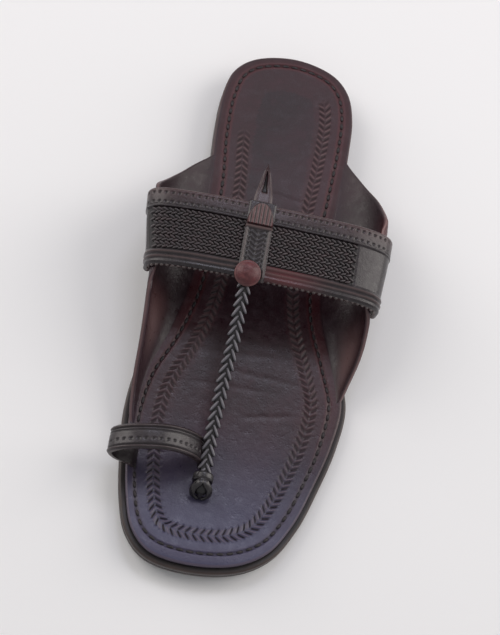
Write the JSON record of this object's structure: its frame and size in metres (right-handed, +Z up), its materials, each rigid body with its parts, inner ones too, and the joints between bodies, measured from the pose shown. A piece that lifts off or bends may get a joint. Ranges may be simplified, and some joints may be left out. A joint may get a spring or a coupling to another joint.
{
  "type": "kolhapuri sandal",
  "caption": "Left kolhapuri sandal in dark brown leather: stitched leather sole with a heel lift, side ears, plaited instep band, braid to a toe post, round button and a big-toe loop.",
  "frame": {"origin": "on the floor under the middle of the whole shoe's box", "axes": "+Y from heel to toe, +X to the inner (big toe) side of the left foot, +Z up"},
  "size_m": [0.1254, 0.2854, 0.0547],
  "materials": {
    "sole_leather": "burnished edge, waxed",
    "top_leather": "oiled vegetable-tanned, semi-gloss",
    "strap_leather": "oiled, semi-gloss",
    "button_leather": "dyed oxblood, polished"
  },
  "bodies": {
    "root": {"outsole": "sole_leather", "heel_lift": "sole_leather", "top_sole_with_ears": "top_leather", "upper": "strap_leather", "strap_tail": "strap_leather", "button": "button_leather"}
  },
  "joints": []
}
